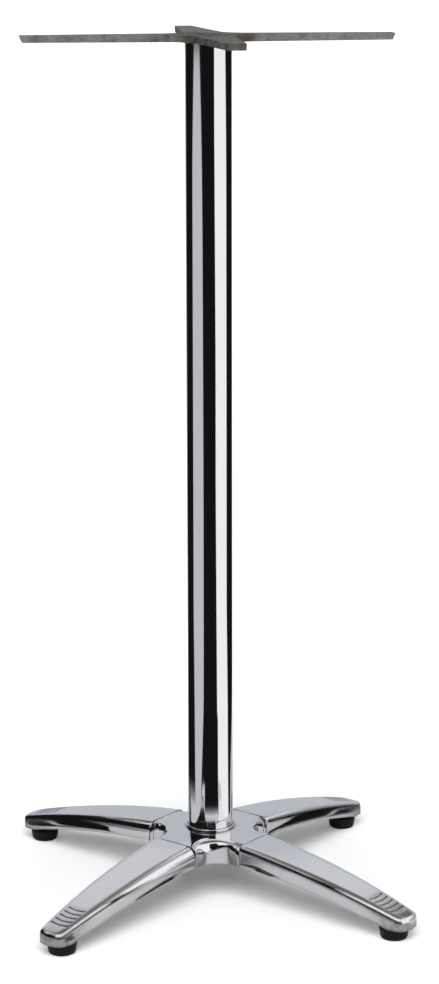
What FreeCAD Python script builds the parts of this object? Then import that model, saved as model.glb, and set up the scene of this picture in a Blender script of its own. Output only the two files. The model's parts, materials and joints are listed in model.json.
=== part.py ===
import FreeCAD, Part
import math
import os
import Sketcher

# Four star table base, bar height. The origin is on the floor under the column, with Z up.
# The legs lie on the diagonals, and the arms of the spider lie along X and Y. Sizes in millimetres.

SIZES = {
    # whole object
    "overall_height": 1080.0,
    # column tube
    "column_diameter": 57.0,
    "column_wall": 1.5,
    "socket_clearance": 0.2,
    # meeting plane of hub and leg, measured from the column's axis
    "joint_reach": 72.4,
    "joint_width": 69.0,
    "joint_top": 78.4,
    "joint_bottom": 53.5,
    "joint_shoulder": 14.5,
    # hub
    "hub_bottom": 50.5,
    "hub_dome_radius": 728.0,
    "hub_corner_radius": 26.0,
    "hub_scoop_shoulder": 9.0,
    "hub_wall": 5.5,
    "hub_flange": 7.0,
    "hub_rim_width": 5.5,
    "hub_rim_step": 0.7,
    "hub_plate": 9.0,
    "collar_diameter": 62.4,
    "collar_top": 84.9,
    "collar_ledge": 82.2,
    "collar_rounding": 1.2,
    "spigot_height": 18.0,
    "spigot_wall": 4.5,
    "tie_pad_diameter": 44.0,
    "tie_pad_height": 2.0,
    # leg, outside
    "leg_reach": 313.0,
    "leg_tip_top": 31.0,
    "leg_top_arch": 1350.0,
    "leg_bottom_arch": 1080.0,
    "leg_side_arch": 3600.0,
    "leg_tip_width": 37.6,
    "foot_land_length": 23.0,
    "foot_land_height": 16.5,
    "nose_bulge_radius": 34.0,
    "nose_corner_radius": 11.0,
    "tip_shoulder": 7.0,
    "seam_width": 1.2,
    "seam_depth": 1.0,
    # leg, inside
    "leg_wall": 4.0,
    "leg_top_wall": 5.0,
    "leg_root_wall": 8.0,
    "leg_core_rounding": 8.0,
    "leg_core_tip_rounding": 3.0,
    "leg_core_drop": 12.0,
    "leg_rib_width": 4.0,
    "leg_rib_depth": 9.0,
    "screw_boss_diameter": 17.0,
    "screw_boss_length": 18.0,
    "foot_boss_diameter": 20.0,
    # grip lines on the leg's top
    "groove_count": 5,
    "groove_setback": 52.5,
    "groove_pitch": 8.0,
    "groove_radius": 38.0,
    "groove_width": 2.6,
    "groove_depth": 1.1,
    "groove_half_angle": 20.5,
    # glide and its stud
    "foot_inset": 26.6,
    "glide_diameter": 37.4,
    "glide_sole_diameter": 32.5,
    "glide_height": 15.0,
    "glide_sole_rounding": 4.0,
    "glide_top_rounding": 1.0,
    "glide_seat_clearance": 0.3,
    "stud_diameter": 8.0,
    "stud_length": 22.0,
    "stud_sunk": 8.0,
    "stud_clearance": 0.05,
    "stud_hole_end": 3.0,
    "stud_chamfer": 1.0,
    # spider
    "spider_reach": 227.0,
    "spider_turn": 1.9,
    "spider_tip_width": 21.6,
    "spider_thickness": 8.3,
    "spider_taper": 0.0755,
    "spider_corner_radius": 36.0,
    "spider_tip_bevel": 3.4,
    "spider_edge_rounding": 0.8,
    "spider_boss_drop": 2.0,
    "spider_boss_width": 92.0,
    "spider_boss_rim": 0.5,
    "spider_spigot_height": 16.0,
    "spider_recess_diameter": 32.0,
    "spider_recess_depth": 14.0,
    "top_screw_reach": 180.0,
    "top_screw_hole": 6.5,
    # tie rod and its nuts
    "rod_diameter": 12.0,
    "rod_hole_clearance": 0.4,
    "rod_end_proud": 2.0,
    "rod_chamfer": 1.0,
    "nut_across_flats": 19.0,
    "nut_height": 10.0,
    "fastener_clearance": 0.05,
    "top_washer_diameter": 26.0,
    "top_washer_thickness": 2.0,
    "bottom_washer_diameter": 40.0,
    "bottom_washer_thickness": 3.0,
    # leg screws
    "leg_screw_spread": 32.0,
    "leg_screw_height": 62.0,
    "leg_screw_diameter": 8.0,
    "leg_screw_length": 25.0,
    "leg_screw_head_diameter": 13.0,
    "leg_screw_head_height": 8.0,
    "leg_screw_key": 6.0,
    "leg_screw_key_depth": 4.0,
    "leg_screw_chamfer": 0.8,
    "leg_screw_hole_clearance": 0.4,
    "leg_screw_thread_clearance": 0.05,
    "leg_washer_diameter": 14.0,
    "leg_washer_thickness": 1.6,
}

CORNERS = ("back_right", "back_left", "front_left", "front_right")
QUARTER = 360.0 / len(CORNERS)
DIAGONAL = QUARTER / 2


class Size:
    """A number together with the sheet formula that gives it."""

    def __init__(self, value, formula):
        self.value = value
        self.formula = formula

    def __add__(self, other):
        other = as_size(other)
        return Size(self.value + other.value, f"({self.formula} + {other.formula})")

    def __sub__(self, other):
        other = as_size(other)
        return Size(self.value - other.value, f"({self.formula} - {other.formula})")

    def __mul__(self, other):
        other = as_size(other)
        return Size(self.value * other.value, f"({self.formula} * {other.formula})")

    def __truediv__(self, other):
        other = as_size(other)
        return Size(self.value / other.value, f"({self.formula} / {other.formula})")

    def __neg__(self):
        return as_size(0) - self

    def root(self):
        return Size(math.sqrt(self.value), f"sqrt({self.formula})")


def as_size(thing):
    return thing if isinstance(thing, Size) else Size(float(thing), repr(float(thing)))


document = FreeCAD.newDocument("four_star_table_base")


def write_sheet():
    """Put the driving sizes in the sheet and give each one back by name."""
    sheet = document.addObject("Spreadsheet::Sheet", "Sizes")
    for row, (alias, number) in enumerate(SIZES.items(), start=1):
        sheet.set(f"A{row}", alias)
        sheet.set(f"B{row}", str(number))
        sheet.setAlias(f"B{row}", alias)
    document.recompute()
    return {alias: Size(float(sheet.get(alias)), f"Sizes.{alias}") for alias in SIZES}


size = write_sheet()


def arc_through(start, end, radius, centre_side):
    """An arc of the given radius between two points; centre_side is 1 left of the way, -1 right."""
    chord = end - start
    half = chord.Length / 2
    left = FreeCAD.Vector(-chord.y, chord.x, 0).normalize()
    centre = (start + end) / 2 + left * centre_side * math.sqrt(radius**2 - half**2)
    circle = Part.Circle(centre, FreeCAD.Vector(0, 0, 1), radius)
    ends = (start, end) if centre_side > 0 else (end, start)
    angles = [math.atan2(point.y - centre.y, point.x - centre.x) for point in ends]
    if angles[1] < angles[0]:
        angles[1] += 2 * math.pi
    return Part.ArcOfCircle(circle, angles[0], angles[1])


def draw_loop(sketch, corners, arcs):
    """Draw one closed outline. arcs gives (radius, centre side) for the edges that are curved."""
    points = [FreeCAD.Vector(x.value, y.value, 0) for x, y in corners]
    first = sketch.GeometryCount
    heads = []
    for index, start in enumerate(points):
        end = points[(index + 1) % len(points)]
        if index in arcs:
            radius, centre_side = arcs[index]
            sketch.addGeometry(arc_through(start, end, radius.value, centre_side), False)
            heads.append(1 if centre_side > 0 else 2)
        else:
            sketch.addGeometry(Part.LineSegment(start, end), False)
            heads.append(1)
    for index, (x, y) in enumerate(corners):
        edge = first + index
        following = (index + 1) % len(points)
        tail = 3 - heads[index]
        joined = ("Coincident", edge, tail, first + following, heads[following])
        sketch.addConstraint(Sketcher.Constraint(*joined))
        for kind, coordinate in (("DistanceX", x), ("DistanceY", y)):
            held = Sketcher.Constraint(kind, edge, heads[index], coordinate.value)
            number = sketch.addConstraint(held)
            sketch.setExpression(f"Constraints[{number}]", coordinate.formula)
        if index in arcs:
            radius = arcs[index][0]
            number = sketch.addConstraint(Sketcher.Constraint("Radius", edge, radius.value))
            sketch.setExpression(f"Constraints[{number}]", radius.formula)


def attach(body, name, role, lift):
    """A sketch on one of the body's own planes, lifted along the plane's normal."""
    sketch = body.newObject("Sketcher::SketchObject", name)
    plane = next(item for item in body.Origin.OriginFeatures if item.Role == role)
    sketch.AttachmentSupport = (plane, [""])
    sketch.MapMode = "FlatFace"
    sketch.setExpression("AttachmentOffset.Base.z", as_size(lift).formula)
    return sketch


def draw(body, name, role, loops, lift=0):
    sketch = attach(body, name, role, lift)
    for corners, arcs in loops:
        corners = [(as_size(x), as_size(y)) for x, y in corners]
        draw_loop(sketch, corners, arcs)
    return sketch


def draw_circles(body, name, role, centres, radius, lift=0):
    sketch = attach(body, name, role, lift)
    for x, y in centres:
        x, y = as_size(x), as_size(y)
        centre = FreeCAD.Vector(x.value, y.value, 0)
        edge = sketch.addGeometry(Part.Circle(centre, FreeCAD.Vector(0, 0, 1), radius.value), False)
        for held, formula in (
            (Sketcher.Constraint("DistanceX", edge, 3, x.value), x.formula),
            (Sketcher.Constraint("DistanceY", edge, 3, y.value), y.formula),
            (Sketcher.Constraint("Radius", edge, radius.value), radius.formula),
        ):
            number = sketch.addConstraint(held)
            sketch.setExpression(f"Constraints[{number}]", formula)
    return sketch


def new_body(label):
    body = document.addObject("PartDesign::Body", label)
    body.Label = label
    return body


def extrude(body, kind, sketch, length=None, symmetric=False, backwards=False):
    """Pad or pocket a sketch; with no length the pocket runs through everything."""
    feature = body.newObject(f"PartDesign::{kind}", f"{sketch.Name}_{kind.lower()}")
    feature.Profile = sketch
    if length is None:
        feature.Type = "ThroughAll"
    else:
        feature.setExpression("Length", as_size(length).formula)
    feature.SideType = "Symmetric" if symmetric else "One side"
    feature.Reversed = backwards
    document.recompute()
    return feature


def turn(body, kind, sketch):
    """Revolve a sketch on the XZ plane, or cut its revolved form, about the body's own Z axis."""
    feature = body.newObject(f"PartDesign::{kind}", f"{sketch.Name}_{kind.lower()}")
    feature.Profile = sketch
    feature.ReferenceAxis = (sketch, ["V_Axis"])
    feature.Angle = 360.0
    document.recompute()
    return feature


def turned_body(label, corners, arcs=None):
    body = new_body(label)
    turn(body, "Revolution", draw(body, f"{label}_profile", "XZ_Plane", [(corners, arcs or {})]))
    return body


def edge_names(shape, wanted):
    return [f"Edge{number}" for number, edge in enumerate(shape.Edges, start=1) if wanted(edge)]


def round_edges(body, radius, wanted):
    """Round the edges of the body's last feature that pass the test."""
    feature = body.newObject("PartDesign::Fillet", f"{body.Label}_rounding")
    base = feature.BaseFeature or body.Tip
    feature.Base = (base, edge_names(base.Shape, wanted))
    feature.setExpression("Radius", radius.formula)
    document.recompute()
    return feature


def boolean(kind, label, first, second):
    result = document.addObject(f"Part::{kind}", label)
    result.Base = first
    result.Tool = second
    document.recompute()
    return result


def is_upright(edge):
    low, high = edge.BoundBox.ZMin, edge.BoundBox.ZMax
    return edge.BoundBox.XLength < TINY and edge.BoundBox.YLength < TINY and high - low > TINY


TINY = 1e-4


# Heights and radii that several pieces share

spider_bottom = size["overall_height"] - size["spider_thickness"]
tube_top = spider_bottom - size["spider_boss_drop"]
column_radius = size["column_diameter"] / 2
bore_radius = column_radius - size["column_wall"]
spigot_radius = bore_radius - size["socket_clearance"]
rod_radius = size["rod_diameter"] / 2
rod_hole_radius = rod_radius + size["rod_hole_clearance"]
ceiling = size["joint_top"] - size["hub_plate"]
tie_face = ceiling - size["tie_pad_height"]
bottom_nut_top = tie_face - size["bottom_washer_thickness"]
rod_bottom = bottom_nut_top - size["nut_height"] - size["rod_end_proud"]
recess_floor = size["overall_height"] - size["spider_recess_depth"]
top_nut_bottom = recess_floor + size["top_washer_thickness"]
rod_top = top_nut_bottom + size["nut_height"]
boss_face = size["glide_height"] + size["glide_seat_clearance"]
stud_top = size["glide_height"] - size["stud_sunk"] + size["stud_length"]
screw_seat = size["joint_reach"] - size["hub_flange"]
foot_reach = size["leg_reach"] - size["foot_inset"]
# A length that runs past whatever it is used to cut.
ample = size["leg_reach"]


def make_column_tube():
    """Round tube that stands on the ledge of the hub's collar and carries the spider."""
    low, high = size["collar_ledge"], tube_top
    corners = [(bore_radius, low), (column_radius, low), (column_radius, high), (bore_radius, high)]
    return turned_body("column_tube", corners)


def cross(reach, half_width):
    """Corners of a cross with four equal arms along X and Y, anticlockwise."""
    quarter = [(reach, -half_width), (reach, half_width), (half_width, half_width)]
    corners = []
    for _ in CORNERS:
        corners += quarter
        quarter = [(-y, x) for x, y in quarter]
    return corners


def cross_body(label, reach, half_width, low, high, corner_radius):
    """Upright cross whose four inner corners are scooped to a radius."""
    body = new_body(label)
    outline = draw(body, f"{label}_plan", "XY_Plane", [(cross(reach, half_width), {})], low)
    extrude(body, "Pad", outline, high - low)
    limit = half_width.value + TINY

    def is_inner(edge):
        return is_upright(edge) and max(abs(edge.BoundBox.XMax), abs(edge.BoundBox.YMax),
                                        abs(edge.BoundBox.XMin), abs(edge.BoundBox.YMin)) < limit

    round_edges(body, corner_radius, is_inner)
    return body


def shouldered(label, base, surface_type, joint_radius, far_radius):
    """Round the rim of the top face, with one radius at the meeting planes and one away from them."""
    shape = base.Shape
    top = max((face for face in shape.Faces if isinstance(face.Surface, surface_type)),
              key=lambda face: face.Area)
    reach = size["joint_reach"].value

    def meets(vertex):
        return abs(max(abs(vertex.X), abs(vertex.Y)) - reach) < TINY

    rows = []
    for rim in top.OuterWire.Edges:
        if not all(meets(vertex) for vertex in rim.Vertexes):
            number = next(n for n, edge in enumerate(shape.Edges, start=1) if edge.isSame(rim))
            radii = [joint_radius if meets(vertex) else far_radius for vertex in rim.Vertexes]
            rows.append((number, *radii))
    feature = document.addObject("Part::Fillet", label)
    feature.Base = base
    feature.Edges = rows
    document.recompute()
    return feature


def hub_form(label, dome, half_width):
    """Cross under the dome, with scooped inner corners and a rounded shoulder."""
    block = cross_body(f"{label}_block", size["joint_reach"], half_width, size["hub_bottom"],
                       size["collar_top"], size["hub_corner_radius"])
    domed = boolean("Common", f"{label}_domed", block, dome)
    return shouldered(label, domed, Part.Sphere, size["joint_shoulder"].value,
                      size["hub_scoop_shoulder"].value)


def make_dome():
    """Ball whose top passes through the middle of each meeting face's top edge."""
    radius, reach = size["hub_dome_radius"], size["joint_reach"]
    dome = document.addObject("Part::Sphere", "hub_dome")
    dome.setExpression("Radius", radius.formula)
    # Its poles point sideways, clear of the hub.
    dome.Placement.Rotation = FreeCAD.Rotation(FreeCAD.Vector(1, 0, 0), 90)
    centre = size["joint_top"] - (radius * radius - reach * reach).root()
    dome.setExpression("Placement.Base.z", centre.formula)
    return dome


def make_hub_skin():
    """Outside of the hub: its sides step in a little between the rims at the four leg faces."""
    half_width = size["joint_width"] / 2
    dome = make_dome()
    full = hub_form("hub_full", dome, half_width)
    slim = hub_form("hub_slim", dome, half_width - size["hub_rim_step"])
    inside = size["joint_reach"] - size["hub_rim_width"]
    middle = document.addObject("Part::Box", "hub_middle")
    for side in ("Length", "Width"):
        middle.setExpression(side, (inside * 2).formula)
    middle.setExpression("Height", ample.formula)
    for axis in ("x", "y"):
        middle.setExpression(f"Placement.Base.{axis}", (-inside).formula)
    step = boolean("Cut", "hub_step", middle, slim)
    return boolean("Cut", "hub_skin", full, step)


def make_hub():
    """Casting with a domed top, four faces for the legs, a scooped side between them and a collar."""
    half_width = size["joint_width"] / 2
    cavity = cross_body("hub_cavity", screw_seat, half_width - size["hub_wall"],
                        size["hub_bottom"] - size["hub_wall"], ceiling,
                        size["hub_corner_radius"] + size["hub_wall"])
    shell = boolean("Cut", "hub_shell", make_hub_skin(), cavity)
    joined = boolean("Fuse", "hub_joined", shell, make_collar())
    holes = new_body("hub_holes")
    spread, height = size["leg_screw_spread"] / 2, size["leg_screw_height"]
    hole_radius = size["leg_screw_diameter"] / 2 + size["leg_screw_hole_clearance"]
    for role in ("XZ_Plane", "YZ_Plane"):
        circles = draw_circles(holes, f"hub_screws_{role[:2]}", role,
                               [(spread, height), (-spread, height)], hole_radius)
        extrude(holes, "Pad", circles, ample, symmetric=True)
    drilled = boolean("Cut", "hub_drilled", joined, holes)
    rod_hole = document.addObject("Part::Cylinder", "hub_rod_hole")
    rod_hole.setExpression("Radius", rod_hole_radius.formula)
    rod_hole.setExpression("Height", size["collar_top"].formula)
    hub = boolean("Cut", "hub", drilled, rod_hole)
    hub.Placement = FreeCAD.Placement(FreeCAD.Vector(), FreeCAD.Vector(0, 0, 1), DIAGONAL)
    return hub


def make_collar():
    """Ring round the tube's foot, cored spigot inside the tube and machined pad under the plate."""
    ring = size["collar_diameter"] / 2
    socket = column_radius + size["socket_clearance"]
    core = spigot_radius - size["spigot_wall"]
    pad = size["tie_pad_diameter"] / 2
    root = ceiling + size["tie_pad_height"]
    ledge = size["collar_ledge"]
    spigot_top = ledge + size["spigot_height"]
    bore = rod_hole_radius
    corners = [(bore, tie_face), (pad, tie_face), (pad, root), (ring, root),
               (ring, size["collar_top"]), (socket, size["collar_top"]), (socket, ledge),
               (spigot_radius, ledge), (spigot_radius, spigot_top), (core, spigot_top),
               (core, ledge), (bore, ledge)]
    collar = turned_body("hub_collar", corners)
    rim = size["collar_top"].value
    limit = ring.value - TINY
    round_edges(collar, size["collar_rounding"],
                lambda edge: abs(edge.BoundBox.ZMax - rim) < TINY and edge.BoundBox.XMax > limit
                and edge.BoundBox.ZLength < TINY)
    return collar


def leg_form(label, side_inset, top_inset, bottom_drop, tip_rounding, root_rounding):
    """The leg's arched and tapered form along +X, or its core when the insets are not zero."""
    root, tip = size["joint_reach"], size["leg_reach"] - side_inset
    top_root, top_tip = size["joint_top"] - top_inset, size["leg_tip_top"] - top_inset
    low_root = size["joint_bottom"] - bottom_drop
    low_tip = size["foot_land_height"] - bottom_drop
    side = new_body(f"{label}_side")
    corners = [(root, low_root), (size["leg_reach"] - size["foot_land_length"], low_tip), (tip, low_tip),
               (tip, top_tip), (root, top_root)]
    arcs = {0: (size["leg_bottom_arch"], -1), 3: (size["leg_top_arch"] - top_inset, 1)}
    profile = draw(side, f"{label}_profile", "XZ_Plane", [(corners, arcs)])
    extrude(side, "Pad", profile, ample, symmetric=True)
    plan = new_body(f"{label}_plan")
    root_half = size["joint_width"] / 2 - side_inset
    tip_half = size["leg_tip_width"] / 2 - side_inset
    bulge = size["nose_bulge_radius"] - side_inset
    nose = tip - bulge + (bulge * bulge - tip_half * tip_half).root()
    corners = [(root, -root_half), (nose, -tip_half), (nose, tip_half), (root, root_half)]
    arcs = {0: (size["leg_side_arch"], 1), 1: (bulge, 1), 2: (size["leg_side_arch"], 1)}
    outline = draw(plan, f"{label}_outline", "XY_Plane", [(corners, arcs)])
    extrude(plan, "Pad", outline, ample)
    nose_start = nose.value - TINY
    round_edges(plan, size["nose_corner_radius"] - side_inset,
                lambda edge: is_upright(edge) and edge.BoundBox.XMin > nose_start)
    form = boolean("Common", f"{label}_form", side, plan)
    return shouldered(label, form, Part.Cylinder, root_rounding.value, tip_rounding.value)


def make_leg_skin(outer):
    """The leg's outside with its grip lines, and a shadow groove round it where it meets the hub."""
    depth = size["seam_depth"]
    slim = leg_form("leg_slim", depth, depth, as_size(0), size["tip_shoulder"] - depth,
                    size["joint_shoulder"] - depth)
    band = document.addObject("Part::Box", "leg_band")
    band.setExpression("Length", size["seam_width"].formula)
    band.setExpression("Width", ample.formula)
    band.setExpression("Height", ample.formula)
    band.setExpression("Placement.Base.x", size["joint_reach"].formula)
    band.setExpression("Placement.Base.y", (-ample / 2).formula)
    seam = boolean("Cut", "leg_seam", band, slim)
    lined = boolean("Cut", "leg_lined", outer, make_leg_grooves(outer))
    return boolean("Cut", "leg_skin", lined, seam)


def make_leg_fills(skin):
    """Root wall, screw bosses, foot boss and centre rib, trimmed to the leg's outside."""
    root, foot = size["joint_reach"].value, foot_reach.value
    top = size["joint_top"].value
    width = size["joint_width"].value
    along, up = FreeCAD.Vector(1, 0, 0), FreeCAD.Vector(0, 0, 1)
    wall = Part.makeBox(size["leg_root_wall"].value, width, top,
                        FreeCAD.Vector(root, -width / 2, 0))
    fills = [wall]
    for side in (-1, 1):
        start = FreeCAD.Vector(root, side * size["leg_screw_spread"].value / 2,
                               size["leg_screw_height"].value)
        fills.append(Part.makeCylinder(size["screw_boss_diameter"].value / 2,
                                       size["screw_boss_length"].value, start, along))
    boss_radius = size["foot_boss_diameter"].value / 2
    boss_base = FreeCAD.Vector(foot, 0, boss_face.value)
    fills.append(Part.makeCylinder(boss_radius, top, boss_base, up))
    rib_half = size["leg_rib_width"].value / 2
    depth = (size["leg_top_wall"] + size["leg_rib_depth"]).value
    slope = (size["leg_tip_top"].value - top) / (size["leg_reach"].value - root)
    low_root, low_foot = top - depth, top - depth + slope * (foot - root)
    rib = Part.Face(Part.makePolygon([
        FreeCAD.Vector(root, -rib_half, low_root), FreeCAD.Vector(foot, -rib_half, low_foot),
        FreeCAD.Vector(foot, -rib_half, top), FreeCAD.Vector(root, -rib_half, top),
        FreeCAD.Vector(root, -rib_half, low_root)]))
    fills.append(rib.extrude(FreeCAD.Vector(0, 2 * rib_half, 0)))
    trimmed = fills[0].multiFuse(fills[1:]).common(skin.Shape)
    # The foot boss stands a little proud of the leg's lower rim, to meet the glide.
    proud = Part.makeCylinder(boss_radius, (stud_top - boss_face).value, boss_base, up)
    feature = document.addObject("Part::Feature", "leg_fills")
    feature.Shape = trimmed.fuse(proud)
    return feature


def make_leg_grooves(outer):
    """Short curved grip lines across the top, bowed towards the tip, with an arched floor."""
    ring = size["groove_radius"].value
    half = size["groove_width"].value / 2
    angle = size["groove_half_angle"].value
    base = (size["foot_land_height"].value + size["leg_tip_top"].value) / 2
    top = size["joint_top"].value
    first = (size["leg_reach"] - size["groove_setback"]).value
    up = FreeCAD.Vector(0, 0, 1)
    floor = outer.Base.Shape.translated(FreeCAD.Vector(0, 0, -size["groove_depth"].value))
    bars = []
    for index in range(int(size["groove_count"].value)):
        crest = first + index * size["groove_pitch"].value
        centre = FreeCAD.Vector(crest - ring, 0, base)
        bar = Part.makeCylinder(ring + half, top, centre, up, 2 * angle)
        bar = bar.cut(Part.makeCylinder(ring - half, top, centre, up))
        bar.rotate(centre, up, -angle)
        bars.append(bar.cut(floor))
    feature = document.addObject("Part::Feature", "leg_grooves")
    feature.Shape = Part.makeCompound(bars)
    return feature


def make_leg():
    """One leg along +X: a cast shell, open below, with its bosses, rib, holes and grip lines."""
    none = as_size(0)
    outer = leg_form("leg_outer", none, none, none, size["tip_shoulder"], size["joint_shoulder"])
    core = leg_form("leg_core", size["leg_wall"], size["leg_top_wall"], size["leg_core_drop"],
                    size["leg_core_tip_rounding"], size["leg_core_rounding"])
    skin = make_leg_skin(outer)
    shell = boolean("Cut", "leg_shell", skin, core)
    filled = boolean("Fuse", "leg_filled", shell, make_leg_fills(skin))
    drills = new_body("leg_holes")
    spread, height = size["leg_screw_spread"] / 2, size["leg_screw_height"]
    thread = size["leg_screw_diameter"] / 2 + size["leg_screw_thread_clearance"]
    circles = draw_circles(drills, "leg_screw_circles", "YZ_Plane",
                           [(spread, height), (-spread, height)], thread, size["joint_reach"])
    extrude(drills, "Pad", circles, size["screw_boss_length"])
    stud = size["stud_diameter"] / 2 + size["stud_clearance"]
    circle = draw_circles(drills, "leg_stud_circle", "XY_Plane", [(foot_reach, 0)], stud)
    extrude(drills, "Pad", circle, stud_top + size["stud_hole_end"])
    return boolean("Cut", "leg", filled, drills)


def make_glide():
    """Round plastic pad with a slightly smaller, rounded sole and a socket for its stud."""
    rim, sole = size["glide_diameter"] / 2, size["glide_sole_diameter"] / 2
    height = size["glide_height"]
    stud = size["stud_diameter"] / 2
    socket = height - size["stud_sunk"]
    corners = [(0, 0), (sole, 0), (rim, height), (stud, height), (stud, socket), (0, socket)]
    glide = turned_body("glide", corners)
    reach = sole.value - TINY
    round_edges(glide, size["glide_sole_rounding"],
                lambda edge: edge.BoundBox.ZMax < TINY and edge.BoundBox.XMax > reach)
    outside = rim.value - TINY
    round_edges(glide, size["glide_top_rounding"],
                lambda edge: edge.BoundBox.ZMin > height.value - TINY
                and edge.BoundBox.XMax > outside)
    return glide


def make_glide_stud():
    """Plain shank of the glide's threaded stud."""
    radius, chamfer = size["stud_diameter"] / 2, size["stud_chamfer"]
    low, high = size["glide_height"] - size["stud_sunk"], stud_top
    corners = [(0, low), (radius, low), (radius, high - chamfer), (radius - chamfer, high), (0, high)]
    return turned_body("glide_stud", corners)


def make_leg_screw():
    """Socket head screw along +Z with the underside of its head at the origin."""
    head, shank = size["leg_screw_head_diameter"] / 2, size["leg_screw_diameter"] / 2
    back, point = -size["leg_screw_head_height"], size["leg_screw_length"]
    chamfer = size["leg_screw_chamfer"]
    corners = [(0, back), (head - chamfer, back), (head, back + chamfer), (head, 0), (shank, 0),
               (shank, point - chamfer), (shank - chamfer, point), (0, point)]
    screw = turned_body("leg_screw", corners)
    key = draw(screw, "leg_screw_key", "XY_Plane", [(hexagon(size["leg_screw_key"]), {})], back)
    extrude(screw, "Pocket", key, size["leg_screw_key_depth"], backwards=True)
    return screw


def hexagon(across_flats):
    """Corners of a hexagon with two of its flats along X."""
    side = across_flats / 3**0.5
    half_flats = across_flats / 2
    return [(side, 0), (side / 2, half_flats), (-side / 2, half_flats), (-side, 0),
            (-side / 2, -half_flats), (side / 2, -half_flats)]


def make_ring(label, inner, outer, low, high):
    return turned_body(label, [(inner, low), (outer, low), (outer, high), (inner, high)])


def make_nut(label, low):
    """Hexagon nut whose corners are chamfered at both ends."""
    flats, high = size["nut_across_flats"], low + size["nut_height"]
    nut = new_body(label)
    block = draw(nut, f"{label}_hexagon", "XY_Plane", [(hexagon(flats), {})], low)
    extrude(nut, "Pad", block, size["nut_height"])
    bore = draw_circles(nut, f"{label}_bore", "XY_Plane", [(0, 0)],
                        rod_radius + size["fastener_clearance"], low)
    extrude(nut, "Pocket", bore, backwards=True)
    # Chamfers of 30 degrees, drawn out past the hexagon's corners.
    face, past = flats / 2, flats * 2 / 3
    slope = (past - face) / 3**0.5
    for name, edge, inward in (("low", low, slope), ("high", high, -slope)):
        ring = [(face, edge), (past, edge), (past, edge + inward)]
        turn(nut, "Groove", draw(nut, f"{label}_{name}_chamfer", "XZ_Plane", [(ring, {})]))
    return nut


def make_tie_rod():
    """Full-length rod that clamps spider, tube and hub together."""
    chamfer = size["rod_chamfer"]
    corners = [(0, rod_bottom), (rod_radius - chamfer, rod_bottom),
               (rod_radius, rod_bottom + chamfer), (rod_radius, rod_top - chamfer),
               (rod_radius - chamfer, rod_top), (0, rod_top)]
    return turned_body("tie_rod", corners)


def make_spider():
    """Cast cross of four tapered arms with bevelled tips, screw holes, a boss and a spigot."""
    reach, tip = size["spider_reach"], size["spider_tip_width"] / 2
    taper = size["spider_taper"]
    inner = (tip + taper * reach) / (taper + 1)
    quarter = [(reach, -tip), (reach, tip), (inner, inner)]
    corners = []
    for _ in CORNERS:
        corners += quarter
        quarter = [(-y, x) for x, y in quarter]
    top = size["overall_height"]
    spider = new_body("spider")
    outline = draw(spider, "spider_outline", "XY_Plane", [(corners, {})], spider_bottom)
    extrude(spider, "Pad", outline, size["spider_thickness"])
    limit = inner.value + TINY
    round_edges(spider, size["spider_corner_radius"],
                lambda edge: is_upright(edge) and abs(edge.BoundBox.Center.x) < limit
                and abs(edge.BoundBox.Center.y) < limit)
    bevel = [(reach, top), (reach - size["spider_tip_bevel"], spider_bottom),
             (reach, spider_bottom)]
    wedge = draw(spider, "spider_bevel", "XZ_Plane", [(bevel, {})])
    cut = extrude(spider, "Pocket", wedge, ample, symmetric=True)
    repeat(spider, cut, outline)
    low, high = spider_bottom.value, top.value
    round_edges(spider, size["spider_edge_rounding"],
                lambda edge: edge.BoundBox.ZLength < TINY
                and min(abs(edge.BoundBox.ZMin - low), abs(edge.BoundBox.ZMin - high)) < TINY)
    hole = draw_circles(spider, "spider_screw_hole", "XY_Plane", [(size["top_screw_reach"], 0)],
                        size["top_screw_hole"] / 2, spider_bottom)
    drill = extrude(spider, "Pocket", hole, backwards=True)
    repeat(spider, drill, outline)
    boss = [(0, spider_bottom), (0, tube_top),
            (column_radius + size["spider_boss_rim"], tube_top),
            (size["spider_boss_width"] / 2, spider_bottom)]
    turn(spider, "Revolution", draw(spider, "spider_boss", "XZ_Plane", [(boss, {})]))
    spigot = draw_circles(spider, "spider_spigot", "XY_Plane", [(0, 0)], spigot_radius,
                          spider_bottom)
    extrude(spider, "Pad", spigot, size["spider_spigot_height"], backwards=True)
    recess = draw_circles(spider, "spider_recess", "XY_Plane", [(0, 0)],
                          size["spider_recess_diameter"] / 2, top)
    extrude(spider, "Pocket", recess, size["spider_recess_depth"])
    bore = draw_circles(spider, "spider_bore", "XY_Plane", [(0, 0)], rod_hole_radius, top)
    extrude(spider, "Pocket", bore)
    # It was tightened a little way round from square with the legs.
    spin = size["spider_turn"].value
    spider.Placement = FreeCAD.Placement(FreeCAD.Vector(), FreeCAD.Vector(0, 0, 1), spin)
    return spider


def repeat(body, feature, sketch):
    """Copy a cut to all four arms."""
    pattern = body.newObject("PartDesign::PolarPattern", f"{feature.Name}_pattern")
    pattern.Originals = [feature]
    pattern.Axis = (sketch, ["N_Axis"])
    pattern.Angle = 360.0
    pattern.Occurrences = len(CORNERS)
    body.Tip = pattern
    document.recompute()
    return pattern


def place(master, label, placement):
    """A separate piece of the same form as the master, at its own place."""
    piece = document.addObject("Part::Feature", label)
    piece.Label = label
    piece.Shape = master.Shape
    piece.Placement = placement
    return piece


def turned_to(index, offset=None, tilt=None):
    """Placement that tilts and moves a piece in the frame of a leg along +X, then turns it to a leg."""
    spin = FreeCAD.Placement(FreeCAD.Vector(), FreeCAD.Vector(0, 0, 1), DIAGONAL + QUARTER * index)
    local = FreeCAD.Placement(offset or FreeCAD.Vector(), tilt or FreeCAD.Rotation())
    return spin.multiply(local)


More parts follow.
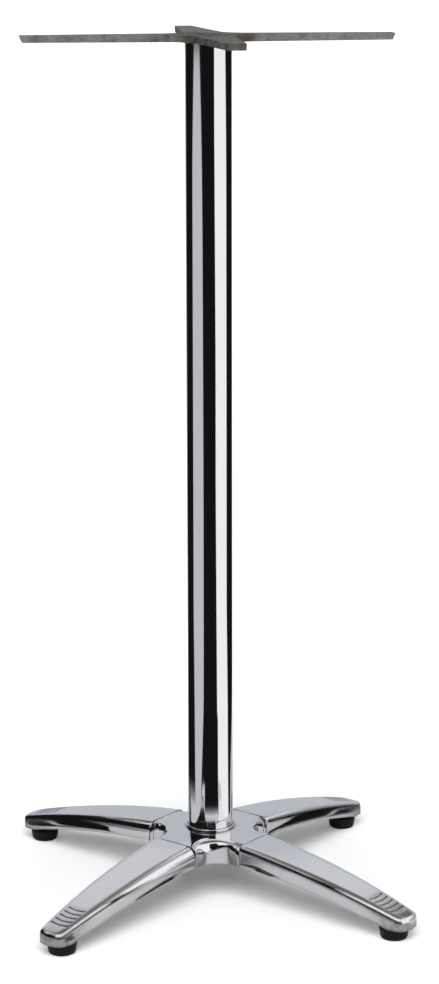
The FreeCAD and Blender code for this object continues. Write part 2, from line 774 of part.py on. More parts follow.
def assemble():
    """Make every piece; the legs and their fittings are repeated round the hub."""
    pieces = [make_column_tube(), make_hub(), make_spider(), make_tie_rod()]
    washer_gap = size["fastener_clearance"]
    pieces.append(make_ring("top_washer", rod_radius + washer_gap,
                            size["top_washer_diameter"] / 2, recess_floor, top_nut_bottom))
    pieces.append(make_ring("bottom_washer", rod_radius + washer_gap,
                            size["bottom_washer_diameter"] / 2, bottom_nut_top, tie_face))
    pieces.append(make_nut("top_nut", top_nut_bottom))
    pieces.append(make_nut("bottom_nut", bottom_nut_top - size["nut_height"]))
    leg, glide, stud, screw = make_leg(), make_glide(), make_glide_stud(), make_leg_screw()
    thickness = size["leg_washer_thickness"]
    washer = make_ring("leg_washer", size["leg_screw_diameter"] / 2 + washer_gap,
                       size["leg_washer_diameter"] / 2, as_size(0), thickness)
    along = FreeCAD.Rotation(FreeCAD.Vector(0, 0, 1), FreeCAD.Vector(1, 0, 0))
    under_foot = FreeCAD.Vector(foot_reach.value, 0, 0)
    spread, height = size["leg_screw_spread"].value / 2, size["leg_screw_height"].value
    for index, corner in enumerate(CORNERS):
        pieces.append(place(leg, f"leg_{corner}", turned_to(index)))
        pieces.append(place(glide, f"glide_{corner}", turned_to(index, under_foot)))
        pieces.append(place(stud, f"glide_stud_{corner}", turned_to(index, under_foot)))
        for name, side in (("left", 1), ("right", -1)):
            seat = FreeCAD.Vector(screw_seat.value - thickness.value, side * spread, height)
            pieces.append(place(screw, f"leg_screw_{corner}_{name}",
                                turned_to(index, seat, along)))
            pieces.append(place(washer, f"leg_washer_{corner}_{name}",
                                turned_to(index, seat, along)))
    document.recompute()
    return pieces


def check(pieces):
    """Stop if anything in the document failed or a piece isn't one sound solid."""
    for item in document.Objects:
        if "Invalid" in item.State or "Error" in item.State:
            raise ValueError(f"{item.Label} failed: {item.State}")
    for piece in pieces:
        if piece.Shape.isNull() or not piece.Shape.isValid() or len(piece.Shape.Solids) != 1:
            raise ValueError(f"{piece.Label} is not one sound solid")


def write(pieces):
    os.makedirs("parts", exist_ok=True)
    for piece in pieces:
        piece.Shape.exportStep(f"parts/{piece.Label}.step")


made = assemble()
check(made)
write(made)
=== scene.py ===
"""Four star table base in polished metal, with a rough cast cross on top, on a pale studio floor."""

import json
import math

import bpy
from mathutils import Matrix, Vector


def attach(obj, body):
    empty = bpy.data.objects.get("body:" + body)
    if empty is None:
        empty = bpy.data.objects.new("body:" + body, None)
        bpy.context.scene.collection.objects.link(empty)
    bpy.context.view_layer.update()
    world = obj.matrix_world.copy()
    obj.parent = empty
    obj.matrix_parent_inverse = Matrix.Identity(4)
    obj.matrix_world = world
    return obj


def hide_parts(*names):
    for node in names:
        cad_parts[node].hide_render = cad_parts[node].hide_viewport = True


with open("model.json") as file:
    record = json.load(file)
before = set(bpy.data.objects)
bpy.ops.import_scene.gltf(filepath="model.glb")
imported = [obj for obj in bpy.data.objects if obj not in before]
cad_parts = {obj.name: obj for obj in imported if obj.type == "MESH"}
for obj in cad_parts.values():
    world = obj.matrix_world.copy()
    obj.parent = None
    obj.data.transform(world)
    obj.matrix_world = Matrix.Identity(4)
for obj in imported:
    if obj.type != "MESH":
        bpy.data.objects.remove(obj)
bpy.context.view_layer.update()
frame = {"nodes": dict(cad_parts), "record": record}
nodes = frame["nodes"]

# Everything is in metres. The floor is at z = 0, the column stands on the Z axis, and -Y is the front.
# A reach is a distance from the column's axis. A bearing is in degrees from +X, anticlockwise as
# seen from above.

WHITE = (1.0, 1.0, 1.0)


# Small helpers

def add(tree, kind, inputs=(), **settings):
    """Add a node, set its properties, and feed its inputs with numbers or other sockets."""
    node = tree.nodes.new(kind)
    for name, value in settings.items():
        setattr(node, name, value)
    for name, value in dict(inputs).items():
        if isinstance(value, bpy.types.NodeSocket):
            tree.links.new(value, node.inputs[name])
        else:
            node.inputs[name].default_value = value
    return node


def new_material(name):
    """An empty material and its node tree."""
    material = bpy.data.materials.new(name)
    material.use_nodes = True
    material.node_tree.nodes.clear()
    return material, material.node_tree


def close(tree, surface):
    """Send a shader to the material's output."""
    add(tree, "ShaderNodeOutputMaterial", {"Surface": surface})


def noise(tree, scale, stretch=(1, 1, 1), detail=3.0, roughness=0.5):
    """Soft noise in the frame's own metres; scale is in features a metre."""
    place = add(tree, "ShaderNodeTexCoord").outputs["Object"]
    spread = add(tree, "ShaderNodeMapping", {"Vector": place, "Scale": stretch})
    return add(tree, "ShaderNodeTexNoise", {"Vector": spread.outputs["Vector"], "Scale": scale,
                                            "Detail": detail, "Roughness": roughness}).outputs["Fac"]


def spread_to(tree, value, low, high, start=0.3, end=0.7):
    """Map values from start to end onto low to high, and hold them at low or high beyond.

    As given, start and end are the middle of a noise's range.
    """
    return add(tree, "ShaderNodeMapRange", {"Value": value, "From Min": start, "From Max": end,
                                            "To Min": low, "To Max": high}).outputs["Result"]


def blend_colours(tree, factor, first, second):
    """Mix two colours or colour sockets; factor 0 is all first and 1 is all second."""
    mix = add(tree, "ShaderNodeMix", data_type="RGBA")
    tree.links.new(factor, mix.inputs["Factor"])
    for name, colour in (("A", first), ("B", second)):
        socket = next(s for s in mix.inputs if s.name == name and s.type == "RGBA")
        if isinstance(colour, bpy.types.NodeSocket):
            tree.links.new(colour, socket)
        else:
            socket.default_value = (*colour, 1.0)
    return next(s for s in mix.outputs if s.type == "RGBA")


def bump(tree, height, depth, under=None):
    """Normal of a relief as deep as depth, on top of the normal under it."""
    inputs = {"Height": height, "Distance": depth}
    if under is not None:
        inputs["Normal"] = under
    return add(tree, "ShaderNodeBump", inputs).outputs["Normal"]


def mesh_piece(name, points, faces, material):
    """Make a mesh object and put it in the scene."""
    mesh = bpy.data.meshes.new(name)
    mesh.from_pydata(points, [], faces)
    mesh.materials.append(material)
    piece = bpy.data.objects.new(name, mesh)
    bpy.context.scene.collection.objects.link(piece)
    return piece


def at_bearing(reach, bearing, height=0.0):
    """The point at a reach, bearing and height."""
    turned = math.radians(bearing)
    return Vector((reach * math.cos(turned), reach * math.sin(turned), height))


# Materials

# The first colour is painted shade, laid into the polished casting's grooves and seams by occlusion;
# CREVICE is how far that occlusion looks.
CREVICE_SHADE = (0.10, 0.095, 0.09)
OXIDE = (0.050, 0.040, 0.034)
EDGE_SAMPLES = 8
CREVICE = 0.005

# Reaches between which a leg's satin side turns into its mottled nose, and the hub into the legs.
NOSE_START = 0.255
NOSE_END = 0.30
LEGS_START = 0.07
LEGS_END = 0.10

# How rounded the edges of hub and legs look.
HUB_ROUNDING = 0.001
LEG_ROUNDING = 0.009


def chrome():
    """Bright plated tube: nearly a mirror, with faint polishing rings and a slight haze."""
    material, tree = new_material("chrome")
    rings = noise(tree, 60.0, stretch=(1, 1, 30), detail=4.0, roughness=0.6)
    haze = noise(tree, 14.0)
    surface = add(tree, "ShaderNodeBsdfPrincipled", {
        "Base Color": blend_colours(tree, haze, (0.80, 0.81, 0.83), (0.86, 0.86, 0.88)),
        "Metallic": 1.0,
        "Roughness": spread_to(tree, rings, 0.03, 0.075),
        "Normal": bump(tree, rings, depth=0.000003)})
    close(tree, surface.outputs["BSDF"])
    return material


def facing_up(tree):
    """0 on upright faces and 1 on level ones."""
    normal = add(tree, "ShaderNodeNewGeometry").outputs["Normal"]
    height = add(tree, "ShaderNodeSeparateXYZ", {"Vector": normal}).outputs["Z"]
    return add(tree, "ShaderNodeMath", {0: height}, operation="ABSOLUTE").outputs["Value"]


def crevices(tree, distance):
    """1 in the open, less in grooves and seams."""
    return add(tree, "ShaderNodeAmbientOcclusion", {"Distance": distance},
               samples=EDGE_SAMPLES).outputs["AO"]


def reach_from_column(tree):
    """Distance from the column's axis in metres."""
    place = add(tree, "ShaderNodeTexCoord").outputs["Object"]
    level = add(tree, "ShaderNodeVectorMath", {0: place, 1: (1, 1, 0)}, operation="MULTIPLY")
    return add(tree, "ShaderNodeVectorMath", {0: level.outputs["Vector"]},
               operation="LENGTH").outputs["Value"]


def polished_casting():
    """Hand-polished aluminium: mirror-like on top, satin on its sides, mottled at the noses.

    Edges look rounder on the legs than on the hub, and grooves and seams darken with painted shade.
    """
    material, tree = new_material("polished_casting")
    waves = noise(tree, 22.0, detail=1.0)
    marks = noise(tree, 420.0, stretch=(1, 1, 4), detail=4.0, roughness=0.65)
    patches = noise(tree, 30.0, detail=2.0)
    mottle = spread_to(tree, noise(tree, 110.0, detail=5.0, roughness=0.65), 0.0, 1.0)
    level = spread_to(tree, facing_up(tree), 0.0, 1.0, start=0.05, end=0.35)
    reach = reach_from_column(tree)
    nose = spread_to(tree, reach, 0.0, 1.0, start=NOSE_START, end=NOSE_END)
    polish = blend_colours(tree, patches, (0.82, 0.82, 0.85), (0.88, 0.88, 0.90))
    satin = blend_colours(tree, patches, (0.78, 0.78, 0.80), (0.86, 0.86, 0.87))
    cast = blend_colours(tree, mottle, (0.30, 0.28, 0.26), (0.68, 0.66, 0.64))
    sides = blend_colours(tree, nose, satin, cast)
    colour = blend_colours(tree, level, sides, polish)
    # Painted shade: occlusion darkens grooves and seams towards the crevice shade colour.
    unshaded = spread_to(tree, crevices(tree, CREVICE), 0.0, 1.0, start=0.35, end=0.92)
    smooth = spread_to(tree, patches, 0.07, 0.12)
    rough = spread_to(tree, nose, 0.09, 0.22, start=0.0, end=1.0)
    roughness = add(tree, "ShaderNodeMix", {"Factor": level, "A": rough, "B": smooth})
    rounding = spread_to(tree, reach, HUB_ROUNDING, LEG_ROUNDING, start=LEGS_START,
                         end=LEGS_END)
    soft_edges = add(tree, "ShaderNodeBevel", {"Radius": rounding},
                     samples=EDGE_SAMPLES).outputs["Normal"]
    wavy = bump(tree, waves, depth=0.0001, under=soft_edges)
    normal = bump(tree, marks, depth=0.000004, under=wavy)
    surface = add(tree, "ShaderNodeBsdfPrincipled", {
        "Base Color": blend_colours(tree, unshaded, CREVICE_SHADE, colour),
        "Metallic": 1.0,
        "Roughness": roughness.outputs["Result"],
        "Normal": normal})
    close(tree, surface.outputs["BSDF"])
    return material


def rough_casting():
    """Grey sand casting: grainy and pitted, darker and brown with oxide around its middle."""
    material, tree = new_material("rough_casting")
    grain = noise(tree, 520.0, detail=6.0, roughness=0.7)
    patches = noise(tree, 150.0, stretch=(1, 1, 2), detail=4.0, roughness=0.6)
    blotches = spread_to(tree, patches, 0.0, 1.0)
    swell = noise(tree, 60.0, detail=2.0)
    stains = noise(tree, 45.0, detail=5.0, roughness=0.6)
    outward = spread_to(tree, reach_from_column(tree), -0.12, 0.16, start=0.02, end=0.11)
    place = add(tree, "ShaderNodeTexCoord").outputs["Object"]
    depth = add(tree, "ShaderNodeSeparateXYZ", {"Vector": place}).outputs["Y"]
    forward = spread_to(tree, depth, 0.16, -0.10, start=-0.09, end=0.06)
    brown = add(tree, "ShaderNodeMath", {0: forward, 1: outward}, operation="SUBTRACT")
    patchy = add(tree, "ShaderNodeMath", {0: stains, 1: brown.outputs["Value"]}, operation="ADD")
    stained = spread_to(tree, patchy.outputs["Value"], 0.0, 0.9, start=0.38, end=0.66)
    grey = blend_colours(tree, blotches, (0.070, 0.070, 0.066), (0.17, 0.17, 0.16))
    speckled = blend_colours(tree, spread_to(tree, grain, 0.0, 0.5), grey, (0.24, 0.24, 0.23))
    colour = blend_colours(tree, stained, speckled, OXIDE)
    normal = bump(tree, grain, depth=0.0006, under=bump(tree, swell, depth=0.0012))
    surface = add(tree, "ShaderNodeBsdfPrincipled", {
        "Base Color": colour,
        "Metallic": 0.2,
        "Roughness": spread_to(tree, grain, 0.55, 0.75),
        "Specular IOR Level": 0.3,
        "Normal": normal})
    close(tree, surface.outputs["BSDF"])
    return material


def black_plastic():
    """Moulded black plastic with a fine spark-eroded texture and a trace of dust."""
    material, tree = new_material("black_plastic")
    texture = noise(tree, 1600.0, detail=4.0, roughness=0.6)
    dust = noise(tree, 90.0, detail=5.0, roughness=0.6)
    dusty = spread_to(tree, dust, 0.0, 0.25, start=0.5, end=0.75)
    surface = add(tree, "ShaderNodeBsdfPrincipled", {
        "Base Color": blend_colours(tree, dusty, (0.004, 0.004, 0.005), (0.014, 0.013, 0.012)),
        "Roughness": spread_to(tree, texture, 0.38, 0.52),
        "Specular IOR Level": 0.2,
        "Normal": bump(tree, texture, depth=0.0001)})
    close(tree, surface.outputs["BSDF"])
    return material


def zinc_steel():
    """Zinc plated fasteners: pale grey with a faint blue and straw tint."""
    material, tree = new_material("zinc_steel")
    tint = noise(tree, 160.0, detail=3.0)
    marks = noise(tree, 900.0, detail=4.0, roughness=0.6)
    surface = add(tree, "ShaderNodeBsdfPrincipled", {
        "Base Color": blend_colours(tree, spread_to(tree, tint, 0.0, 1.0),
                                    (0.50, 0.53, 0.58), (0.62, 0.60, 0.53)),
        "Metallic": 1.0,
        "Roughness": spread_to(tree, marks, 0.25, 0.42),
        "Normal": bump(tree, marks, depth=0.00005)})
    close(tree, surface.outputs["BSDF"])
    return material


FINISHES = {"chrome": chrome(), "polished_casting": polished_casting(),
            "rough_casting": rough_casting(), "black_plastic": black_plastic(),
            "steel": zinc_steel()}


def finish_nodes():
    """Give each CAD node the finish of its slot in the record."""
    for entry in frame["record"]["subparts"]:
        piece = nodes[entry["node"]]
        piece.data.materials.clear()
        piece.data.materials.append(FINISHES[entry["material_slot"]])


# Threads

CORNERS = ("back_right", "back_left", "front_left", "front_right")
ROD_PITCH = 0.00175
ROD_THREAD = 0.06
STUD_PITCH = 0.00125
STUD_THREAD = 0.02
CHAMFER = 0.001
STEPS_AROUND = 28
RINGS_A_TURN = 8

# The thread's depth as a share of its pitch, and its crest and flanks as shares of half a turn.
DEPTH = 0.6
CREST = 0.16
FLANK = 0.80


def cylinder_of(node):
    """Middle, radius, foot and top of an upright cylindrical node."""
    corners = [nodes[node].matrix_world @ Vector(corner) for corner in nodes[node].bound_box]
    low, high = (Vector(limit(values) for values in zip(*corners)) for limit in (min, max))
    return (low + high) / 2, (high.x - low.x) / 2, low.z, high.z


def threaded_rod(node, body, pitch, threaded):
    """A rod with a cut thread at both ends, in place of a plain upright CAD node.

    threaded is the length of each thread.
    """
    middle, radius, foot, top = cylinder_of(node)
    step_up = pitch / RINGS_A_TURN
    count = math.floor(min(threaded, (top - foot) / 2) / step_up)
    heights = [foot + step_up * ring for ring in range(count + 1)]
    heights += [top - step_up * ring for ring in range(count, -1, -1)]
    points = []
    for height in heights:
        taper = max(CHAMFER - min(height - foot, top - height), 0.0)
        for step in range(STEPS_AROUND):
            phase = ((height - foot) / pitch - step / STEPS_AROUND) % 1.0
            flank = (abs(2 * phase - 1) - CREST) / FLANK
            cut = DEPTH * pitch * min(max(flank, 0.0), 1.0)
            points.append(at_bearing(radius - max(cut, taper), 360 * step / STEPS_AROUND, height)
                          + Vector((middle.x, middle.y, 0)))
    last = len(points) - STEPS_AROUND
    faces = []
    for ring in range(0, last, STEPS_AROUND):
        above = ring + STEPS_AROUND
        for step in range(STEPS_AROUND):
            following = (step + 1) % STEPS_AROUND
            faces.append((ring + step, ring + following, above + following, above + step))
    faces.append(tuple(reversed(range(STEPS_AROUND))))
    faces.append(tuple(range(last, last + STEPS_AROUND)))
    piece = mesh_piece(f"{node}_thread", points, faces, FINISHES["steel"])
    piece.data.shade_smooth()
    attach(piece, body)
    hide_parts(node)


def make_threads():
    """Threads of the tie rod's ends and of the four glides' studs."""
    threaded_rod("tie_rod", "base", ROD_PITCH, ROD_THREAD)
    for corner in CORNERS:
        threaded_rod(f"glide_stud_{corner}", f"levelling_glide_{corner}", STUD_PITCH, STUD_THREAD)


# Studio

FLOOR_RADIUS = 40.0
PAPER = (0.80, 0.80, 0.80)

# The camera sees the floor lifted to white, more so further from the object.
LIFT_START = 0.22
LIFT_END = 0.9
LOW_LIFT = 0.05
HIGH_LIFT = 0.9

# Light of the world on surfaces, and the lamp's power in watts.
SKY = (0.95, 1.0, 0.985)
SKY_STRENGTH = 0.30
LAMP_POWER = 285.0

# Reflections show a surround of glowing stripes and panels, which is hidden from everything else.
# The stripes on the floor run from reach NEAREST to FAR, where the wall panels stand.
NEAREST = 0.22
FAR = 20.0
STRIPE_HEIGHT = 0.001
STRIPE_RINGS = 24
STRIPE_STEPS = 16

# Fences along the back legs: the heights of their edges, and the reach where they end.
FENCE_STRIP_FOOT = 0.019
FENCE_STRIP_TOP = 0.022
FENCE_TOP = 0.048
FENCE_END = 0.38

DARK = (0.007, 0.007, 0.0072)
PALE = (0.53, 0.54, 0.58)
BRIGHT = (0.66, 0.67, 0.70)
GREY = (0.57, 0.58, 0.60)
MID = (0.30, 0.30, 0.31)
BROWN = (0.17, 0.145, 0.12)
DIM_PAPER = (0.62, 0.62, 0.63)

# Outline of the pale sheet under the object, as reflections show it: (bearing, reach).
SHEET = ((-276.0, 0.32), (-262.0, 0.40), (-246.0, 0.36), (-200.0, 0.36), (-186.0, 0.29),
         (-150.0, 0.29), (-138.0, 0.46), (-118.0, 0.44), (-108.0, 0.33), (-72.0, 0.33),
         (-62.0, 0.46), (-44.0, 0.46), (-30.0, 0.29), (84.0, 0.32))


def glowing(name, colour):
    """A plain glow that renders as its colour."""
    material, tree = new_material(name)
    close(tree, add(tree, "ShaderNodeEmission", {"Color": (*colour, 1.0)}).outputs["Emission"])
    return material


def fading(name, near_colour, far_colour, near, far):
    """Glow that fades from one colour to another with the distance from the column's axis."""
    material, tree = new_material(name)
    away = spread_to(tree, reach_from_column(tree), 1.0, 0.0, start=near, end=far)
    share = add(tree, "ShaderNodeMath", {0: away, 1: 2.0}, operation="POWER").outputs["Value"]
    colour = blend_colours(tree, share, far_colour, near_colour)
    close(tree, add(tree, "ShaderNodeEmission", {"Color": colour}).outputs["Emission"])
    return material


def only_in_reflections(piece):
    """Hide a piece of the surround from everything but reflections."""
    piece.visible_camera = False
    piece.visible_diffuse = False
    piece.visible_shadow = False
    piece.visible_transmission = False
    piece.visible_volume_scatter = False


def bearing_at(edge, reach):
    """Bearing of a stripe's edge at a reach; edge lists (reach, bearing) from near to far."""
    for (near, first), (far, second) in zip(edge, edge[1:]):
        if reach <= far:
            share = math.log(reach / near) / math.log(far / near)
            return first + (second - first) * max(share, 0.0)
    return edge[-1][1]


def sheet_reach(bearing):
    """How far the pale sheet goes at a bearing."""
    turned = (bearing - SHEET[0][0]) % 360 + SHEET[0][0]
    for (first, near), (second, far) in zip(SHEET, SHEET[1:]):
        if turned <= second:
            return near + (far - near) * (turned - first) / (second - first)


def grid_faces(rows, columns):
    """Faces of a grid whose points are listed row by row."""
    return [(row * (columns + 1) + column, row * (columns + 1) + column + 1,
             (row + 1) * (columns + 1) + column + 1, (row + 1) * (columns + 1) + column)
            for row in range(rows) for column in range(columns)]


def floor_stripe(name, right, left, material):
    """One stripe of the floor as reflections show it, from the pale sheet outwards.

    right and left are its edges, with the bearing growing from right to left.
    """
    points = []
    for ring in range(STRIPE_RINGS + 1):
        reach = NEAREST * (FAR / NEAREST) ** (ring / STRIPE_RINGS)
        start = bearing_at(right, reach)
        end = bearing_at(left, reach)
        for step in range(STRIPE_STEPS + 1):
            bearing = start + (end - start) * step / STRIPE_STEPS
            points.append(at_bearing(max(reach, sheet_reach(bearing)), bearing, STRIPE_HEIGHT))
    faces = grid_faces(STRIPE_RINGS, STRIPE_STEPS)
    only_in_reflections(mesh_piece(name, points, faces, material))


def flat_card(name, corners, colour):
    """A flat card close to the object; it only shows in reflections."""
    only_in_reflections(mesh_piece(name, corners, [(0, 1, 2, 3)], glowing(name, colour)))


def ring_card(name, right, left, near, far, height, material):
    """A low card over the floor, part of a ring round the column."""
    columns = 16
    points = [at_bearing(reach, right + (left - right) * column / columns, height)
              for reach in (near, far) for column in range(columns + 1)]
    only_in_reflections(mesh_piece(name, points, grid_faces(1, columns), material))


def leg_fence(name, bearing, start, aside, low, high, colour):
    """A low upright card along a leg; aside is its distance to the left of the leg's middle."""
    out = at_bearing(1.0, bearing)
    across = at_bearing(aside, bearing + 90.0)
    corners = [out * reach + across + Vector((0, 0, height))
               for reach, height in ((start, low), (FENCE_END, low), (FENCE_END, high),
                                     (start, high))]
    flat_card(name, corners, colour)


def wall_panel(name, right, left, low, high, colour):
    """A patch of a sphere FAR from the column; its edges are bearings and heights in degrees."""
    rows = 6
    columns = 12
    points = []
    for row in range(rows + 1):
        height = math.radians(low + (high - low) * row / rows)
        for column in range(columns + 1):
            bearing = right + (left - right) * column / columns
            points.append(at_bearing(FAR * math.cos(height), bearing, FAR * math.sin(height)))
    only_in_reflections(mesh_piece(name, points, grid_faces(rows, columns), glowing(name, colour)))


def ceiling_panel(name, bearing, height, core, rim, core_colour, rim_colour):
    """A round panel overhead, fading outwards; core and rim are its angular radii in degrees."""
    axis = at_bearing(math.cos(math.radians(height)), bearing, math.sin(math.radians(height)))
    turned = axis.to_track_quat("Z", "Y")
    count = 48
    width = math.radians(rim)
    points = [turned @ (at_bearing(math.sin(width), 360 * n / count, math.cos(width)) * FAR)
              for n in range(count)]
    material, tree = new_material(name)
    place = add(tree, "ShaderNodeTexCoord").outputs["Object"]
    towards = add(tree, "ShaderNodeVectorMath", {0: place}, operation="NORMALIZE").outputs["Vector"]
    along = add(tree, "ShaderNodeVectorMath", {0: towards, 1: axis},
                operation="DOT_PRODUCT").outputs["Value"]
    share = spread_to(tree, along, 0.0, 1.0, start=math.cos(width),
                      end=math.cos(math.radians(core)))
    colour = blend_colours(tree, share, rim_colour, core_colour)
    close(tree, add(tree, "ShaderNodeEmission", {"Color": colour}).outputs["Emission"])
    only_in_reflections(mesh_piece(name, points, [tuple(range(count))], material))


def make_floor():
    """Pale floor; the camera sees it as white paper that keeps the object's soft shadow."""
    material, tree = new_material("floor")
    paper = add(tree, "ShaderNodeBsdfDiffuse", {"Color": (*PAPER, 1.0)})
    white_paper = add(tree, "ShaderNodeBsdfDiffuse", {"Color": (*WHITE, 1.0)})
    strength = spread_to(tree, reach_from_column(tree), LOW_LIFT, HIGH_LIFT, start=LIFT_START,
                         end=LIFT_END)
    lift = add(tree, "ShaderNodeEmission", {"Color": (*WHITE, 1.0), "Strength": strength})
    lit = add(tree, "ShaderNodeAddShader")
    tree.links.new(white_paper.outputs["BSDF"], lit.inputs[0])
    tree.links.new(lift.outputs["Emission"], lit.inputs[1])
    dim = add(tree, "ShaderNodeBsdfDiffuse", {"Color": (*DIM_PAPER, 1.0)})
    path = add(tree, "ShaderNodeLightPath")
    surface = paper.outputs["BSDF"]
    for ray, other in (("Is Glossy Ray", dim.outputs["BSDF"]), ("Is Camera Ray", lit.outputs[0])):
        mix = add(tree, "ShaderNodeMixShader", {"Fac": path.outputs[ray]})
        tree.links.new(surface, mix.inputs[1])
        tree.links.new(other, mix.inputs[2])
        surface = mix.outputs["Shader"]
    close(tree, surface)
    count = 64
    rim = [at_bearing(FLOOR_RADIUS, 360 * n / count) for n in range(count)]
    floor = mesh_piece("floor", rim, [tuple(range(count))], material)


def make_world():
    """White behind the object, pale lavender in reflections, and an even, faintly cool light."""
    world = bpy.data.worlds.new("studio")
    bpy.context.scene.world = world
    world.use_nodes = True
    tree = world.node_tree
    tree.nodes.clear()
    path = add(tree, "ShaderNodeLightPath")
    sky = add(tree, "ShaderNodeBackground", {"Color": (*SKY, 1.0), "Strength": SKY_STRENGTH})
    surface = sky.outputs["Background"]
    for ray, colour in (("Is Glossy Ray", PALE), ("Is Camera Ray", WHITE)):
        other = add(tree, "ShaderNodeBackground", {"Color": (*colour, 1.0), "Strength": 1.0})
        mix = add(tree, "ShaderNodeMixShader", {"Fac": path.outputs[ray]})
        tree.links.new(surface, mix.inputs[1])
        tree.links.new(other.outputs["Background"], mix.inputs[2])
        surface = mix.outputs["Shader"]
    add(tree, "ShaderNodeOutputWorld", {"Surface": surface})


def area_light(name, place, target, width, height, power):
    """A softbox that only lights: neither the camera nor reflections show it."""
    lamp = bpy.data.lights.new(name, "AREA")
    lamp.shape = "RECTANGLE"
    lamp.size, lamp.size_y = width, height
    lamp.energy = power
    piece = bpy.data.objects.new(name, lamp)
    piece.location = place
    piece.rotation_euler = (Vector(target) - Vector(place)).to_track_quat("-Z", "Y").to_euler()
    piece.visible_camera = False
    piece.visible_glossy = False
    bpy.context.scene.collection.objects.link(piece)


# Edges of the stripes on the floor: (reach, bearing), from near to far.
WHITE_LEFT = ((NEAREST, 6.0), (0.87, 3.5), (1.4, -3.0), (4.0, -1.5), (10.0, -1.2), (FAR, -7.0))
WHITE_RIGHT = ((NEAREST, -56.0), (1.4, -63.0), (2.5, -65.5), (4.0, -64.5), (12.0, -69.0),
               (FAR, -68.5))
GREY_LEFT = ((NEAREST, -152.0), (0.5, -141.0), (0.87, -129.5), (2.5, -127.5), (6.8, -128.5),
             (10.0, -131.0), (14.0, -136.0), (FAR, -142.0))
GREY_RIGHT = ((NEAREST, -175.0), (0.87, -182.0), (1.4, -187.0), (10.0, -184.5), (14.0, -177.5),
              (FAR, -171.0))
PALE_RIGHT = ((NEAREST, 20.0), (0.5, 26.0), (0.9, 55.0), (FAR, 55.0))
PALE_LEFT = ((NEAREST, 115.0), (FAR, 115.0))


def turned_back(edge):
    """The same edge counted a full turn the other way."""
    return tuple((reach, bearing + 360.0) for reach, bearing in edge)


def make_stripes():
    """Stripes on the floor, all the way round."""
    dark = glowing("stripe_dark", DARK)
    white = glowing("stripe_white", WHITE)
    floor_stripe("floor_back_right", WHITE_LEFT, PALE_RIGHT, dark)
    floor_stripe("floor_back", PALE_RIGHT, PALE_LEFT, glowing("stripe_pale", PALE))
    floor_stripe("floor_back_left", PALE_LEFT, turned_back(GREY_RIGHT),
                 fading("stripe_fading", DIM_PAPER, DARK, near=0.34, far=0.47))
    floor_stripe("floor_left", GREY_RIGHT, GREY_LEFT, glowing("stripe_grey", GREY))
    floor_stripe("floor_front", GREY_LEFT, WHITE_RIGHT, dark)
    floor_stripe("floor_right", WHITE_RIGHT, WHITE_LEFT, white)


# Wall panels: name, bearings of the right and left edge, heights of the lower and upper edge in
# degrees over the horizon, and colour.
WALL_FOOT = -3.0
WALLS = (
    ("wall_front", -142.0, -68.5, WALL_FOOT, 29.0, DARK),
    ("wall_front_high", -150.0, -40.0, 33.0, 80.0, WHITE),
    ("wall_right", -68.5, -7.0, WALL_FOOT, 45.0, WHITE),
    ("wall_right_low", -7.0, 55.0, WALL_FOOT, 4.0, DARK),
    ("wall_right_middle", -7.0, 38.0, 4.0, 22.0, MID),
    ("wall_right_high", -7.0, 38.0, 22.0, 45.0, WHITE),
    ("wall_back_right", 38.0, 64.0, 30.0, 58.0, BROWN),
    ("wall_back", 66.0, 108.0, 30.0, 41.5, BRIGHT),
    ("wall_back_high", 84.0, 108.0, 41.5, 50.0, BRIGHT),
    ("wall_back_right_high", 64.0, 84.0, 41.5, 58.0, BROWN),
    ("wall_back_left", 110.0, 146.0, 38.0, 64.0, BROWN),
    ("wall_back_left_strip", 147.0, 159.0, 38.0, 64.0, WHITE),
    ("wall_left", 122.0, 218.0, WALL_FOOT, 37.0, DARK),
    ("wall_left_high", 160.0, 218.0, 37.0, 50.0, DARK),
    ("wall_right_top", -40.0, 14.0, 45.0, 62.0, WHITE))


def make_walls():
    """Panels round and over the object; the world shows between them."""
    for wall in WALLS:
        wall_panel(*wall)
    ceiling_panel("ceiling", bearing=84.0, height=75.0, core=24.0, rim=35.0, core_colour=BROWN,
                  rim_colour=PALE)


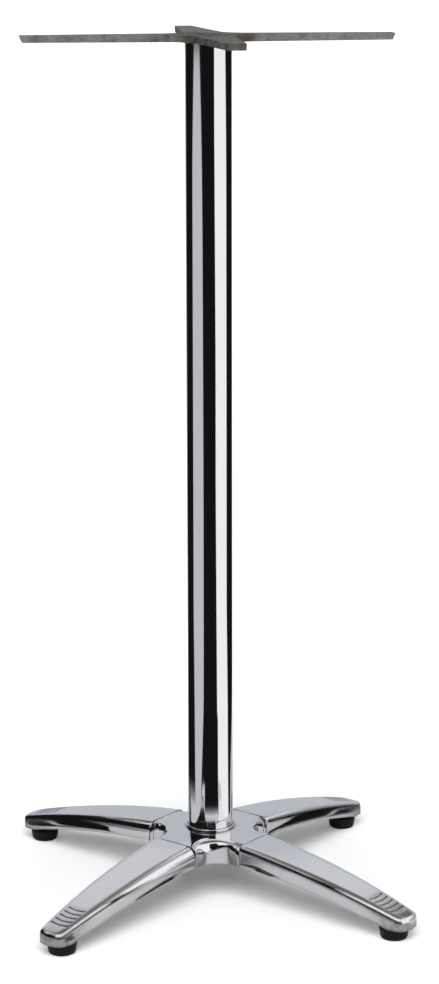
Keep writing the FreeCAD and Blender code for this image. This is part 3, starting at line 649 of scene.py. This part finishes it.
def make_low_cards():
    """Cards close to the base, for the small reflections of its sides."""
    ring_card("front_card", right=-124.0, left=-58.0, near=0.15, far=0.60, height=0.06,
              material=fading("front_card", BRIGHT, DARK, near=0.15, far=0.195))
    ring_card("front_shade", right=-124.0, left=-72.0, near=0.262, far=0.294, height=0.002,
              material=glowing("front_shade", DARK))
    for name, bearing, start, aside in (("back_left", 135.0, 0.165, 0.050),
                                        ("back_right", 45.0, 0.10, -0.050)):
        for part, low, high, colour in (("low", 0.0, FENCE_STRIP_FOOT, DARK),
                                        ("strip", FENCE_STRIP_FOOT, FENCE_STRIP_TOP, GREY),
                                        ("high", FENCE_STRIP_TOP, FENCE_TOP, DARK)):
            leg_fence(f"{name}_fence_{part}", bearing, start, aside, low, high, colour)
    # Dark cards under and in front of the hub, for the dark lines of its scooped front; the one under
    # the hub is painted shadow, the hub's shade on the floor as reflections show it.
    flat_card("painted_hub_shadow", [(-0.095, -0.07, 0.003), (0.045, -0.07, 0.003),
                            (0.035, -0.110, 0.003), (-0.085, -0.125, 0.003)], DARK)
    flat_card("front_flag", [(-0.05, -0.20, 0.09), (0.07, -0.20, 0.09), (0.07, -0.20, 0.35),
                             (-0.05, -0.20, 0.35)], DARK)


def make_studio():
    """Background, light and what reflections show."""
    make_world()
    make_floor()
    area_light("front_softbox", place=(-0.5, -3.5, 3.7), target=(0, 0, 0.3), width=4.4, height=3.4,
               power=LAMP_POWER)
    make_stripes()
    make_walls()
    make_low_cards()


# Camera

# Angles are in degrees, and the focal length is in pixels of a frame as high as FRAME_HEIGHT.
CAMERA_DISTANCE = 3.2421
CAMERA_HEIGHT = 1.2332
CAMERA_BEARING = -6.3
CAMERA_PITCH = 12.45
CAMERA_ASIDE = 0.2165
CAMERA_ROLL = -0.11
FOCAL_PIXELS = 2668.0
FRAME_HEIGHT = 984
SENSOR = 36.0


def make_camera():
    """The photograph's view: a long lens a little above the top, turned slightly off the column."""
    data = bpy.data.cameras.new("camera")
    data.sensor_width = SENSOR
    data.lens = FOCAL_PIXELS * SENSOR / FRAME_HEIGHT
    data.clip_end = 100.0
    camera = bpy.data.objects.new("camera", data)
    bearing = math.radians(CAMERA_BEARING)
    place = Vector((math.sin(bearing), -math.cos(bearing), 0)) * CAMERA_DISTANCE
    place.z = CAMERA_HEIGHT
    aim = Matrix.Rotation(math.radians(CAMERA_BEARING - CAMERA_ASIDE), 4, "Z")
    tip = Matrix.Rotation(math.radians(90 - CAMERA_PITCH), 4, "X")
    roll = Matrix.Rotation(math.radians(CAMERA_ROLL), 4, "Z")
    camera.matrix_world = Matrix.Translation(place) @ aim @ tip @ roll
    bpy.context.scene.collection.objects.link(camera)
    bpy.context.scene.camera = camera


finish_nodes()
make_threads()
make_studio()
make_camera()
bpy.context.scene.view_settings.view_transform = "Standard"
